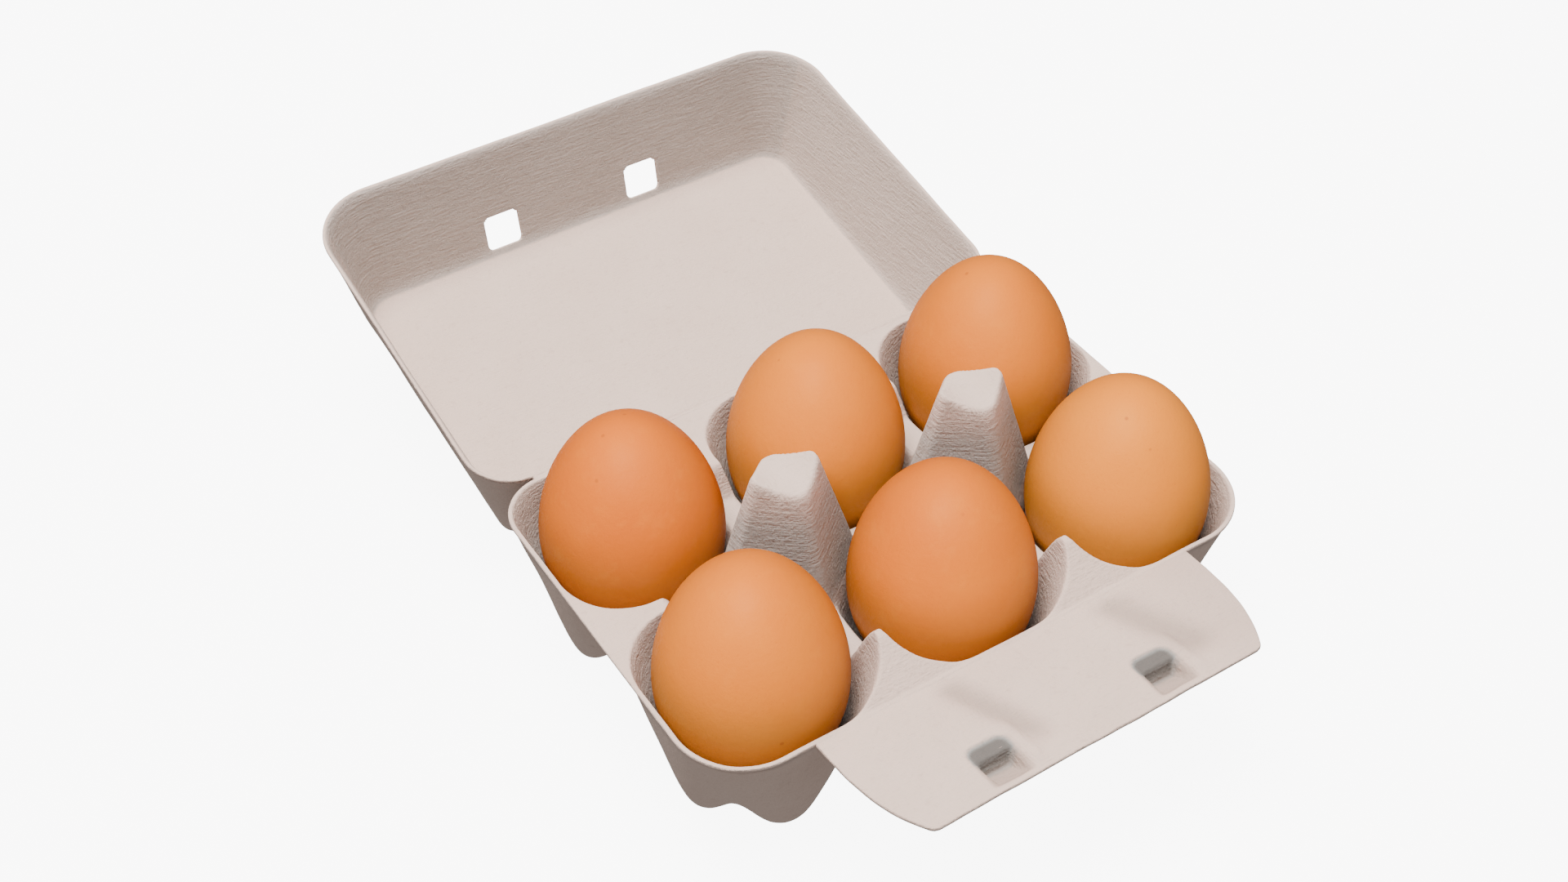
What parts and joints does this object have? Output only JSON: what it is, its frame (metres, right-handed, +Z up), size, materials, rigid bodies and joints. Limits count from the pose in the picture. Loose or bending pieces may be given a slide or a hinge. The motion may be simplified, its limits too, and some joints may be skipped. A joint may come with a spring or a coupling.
{
  "type": "egg carton",
  "caption": "Hinged moulded-pulp egg carton holding eggs, lid and lock flap open, with cone posts between the cells and windows that catch the flap's buttons.",
  "frame": {"origin": "on the surface the carton stands on, under the middle of the open carton's bounding box; the middle of the tray's six cells is at y = -0.0354 m", "axes": "+Z up; +Y from the lock flap towards the opened lid; +X along the lid hinge, to the right seen from the flap side"},
  "size_m": [0.1482, 0.2338, 0.0646],
  "materials": {
    "pulp": "matte",
    "eggshell": "satin"
  },
  "bodies": {
    "tray": {"cell_front_left": "pulp", "cell_front_middle": "pulp", "cell_front_right": "pulp", "cell_back_left": "pulp", "cell_back_middle": "pulp", "cell_back_right": "pulp", "post_left": "pulp", "post_right": "pulp"},
    "lid": {"lid": "pulp", "lid_crease": "pulp"},
    "lock_flap": {"lock_flap": "pulp", "flap_crease": "pulp"},
    "egg_front_left": {"egg_front_left": "eggshell"},
    "egg_front_middle": {"egg_front_middle": "eggshell"},
    "egg_front_right": {"egg_front_right": "eggshell"},
    "egg_back_left": {"egg_back_left": "eggshell"},
    "egg_back_middle": {"egg_back_middle": "eggshell"},
    "egg_back_right": {"egg_back_right": "eggshell"}
  },
  "joints": [
    {"name": "lid_hinge", "type": "hinge", "parent": "tray", "child": "lid", "pos_m": [0, 0.015, 0.03445], "axis": [-1, 0, 0], "range_deg": [-169.8, 11.5]},
    {"name": "flap_hinge", "type": "hinge", "parent": "tray", "child": "lock_flap", "pos_m": [0, -0.0858, 0.0338], "axis": [1, 0, 0], "range_deg": [-104.1, 60]},
    {"name": "egg_front_left_lift", "type": "slide", "parent": "tray", "child": "egg_front_left", "axis": [0, 0, 1], "range_m": [0, 0.06]},
    {"name": "egg_front_middle_lift", "type": "slide", "parent": "tray", "child": "egg_front_middle", "axis": [0, 0, 1], "range_m": [0, 0.06]},
    {"name": "egg_front_right_lift", "type": "slide", "parent": "tray", "child": "egg_front_right", "axis": [0, 0, 1], "range_m": [0, 0.06]},
    {"name": "egg_back_left_lift", "type": "slide", "parent": "tray", "child": "egg_back_left", "axis": [0, 0, 1], "range_m": [0, 0.06]},
    {"name": "egg_back_middle_lift", "type": "slide", "parent": "tray", "child": "egg_back_middle", "axis": [0, 0, 1], "range_m": [0, 0.06]},
    {"name": "egg_back_right_lift", "type": "slide", "parent": "tray", "child": "egg_back_right", "axis": [0, 0, 1], "range_m": [0, 0.06]}
  ]
}
